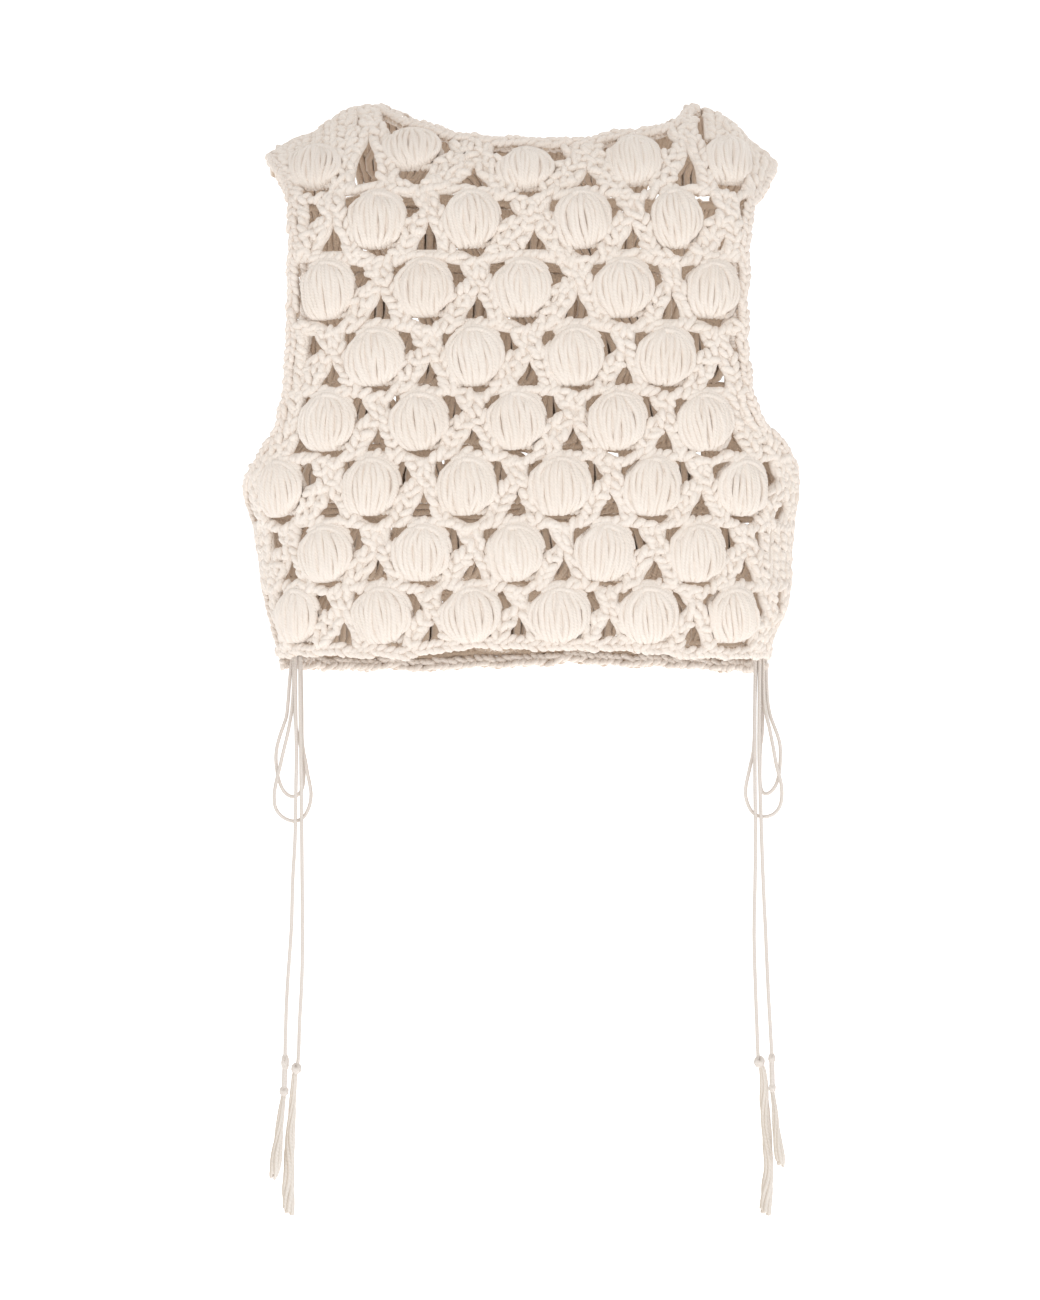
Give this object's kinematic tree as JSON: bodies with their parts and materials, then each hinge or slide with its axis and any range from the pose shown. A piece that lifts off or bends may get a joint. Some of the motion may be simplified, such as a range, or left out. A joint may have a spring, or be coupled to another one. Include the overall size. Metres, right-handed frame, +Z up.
{
  "type": "crochet top",
  "caption": "Sleeveless cropped boxy top in thick cotton crochet with puff stitches, laced at both sides and tied in bows at the hem.",
  "frame": {"origin": "midway between the shoulders, level with the highest point of the shoulder seams, where the wearer's shoulders hold it up", "axes": "+Z up; -Y is the front of the garment; +X is to the right as seen from the front"},
  "size_m": [0.4328, 0.2352, 0.8681],
  "materials": {
    "cotton_yarn": "matt twisted cotton yarn, cream",
    "edging_yarn": "matt twisted cotton yarn, cream, worked as a chained edge",
    "lace_cord": "matt fine cotton cord, pale cream"
  },
  "bodies": {
    "root": {"back_panel": "cotton_yarn", "bow_knot_left": "lace_cord", "bow_knot_right": "lace_cord", "end_knot_left_1_1": "lace_cord", "end_knot_left_1_2": "lace_cord", "end_knot_left_2_1": "lace_cord", "end_knot_right_1_1": "lace_cord", "end_knot_right_2_1": "lace_cord", "end_knot_right_2_2": "lace_cord", "free_end_left_1": "lace_cord", "free_end_left_2": "lace_cord", "free_end_right_1": "lace_cord", "free_end_right_2": "lace_cord", "front_panel": "cotton_yarn", "hem_edging_back": "edging_yarn", "hem_edging_front": "edging_yarn", "knot_link_left_1": "lace_cord", "knot_link_right_2": "lace_cord", "lacing_left": "lace_cord", "lacing_right": "lace_cord", "large_loop_left": "lace_cord", "large_loop_right": "lace_cord", "neck_edging": "edging_yarn", "side_edging_left": "edging_yarn", "side_edging_right": "edging_yarn", "small_loop_left": "lace_cord", "small_loop_right": "lace_cord", "tail_left_1": "cotton_yarn", "tail_left_2": "cotton_yarn", "tail_right_1": "cotton_yarn", "tail_right_2": "cotton_yarn"}
  },
  "joints": []
}
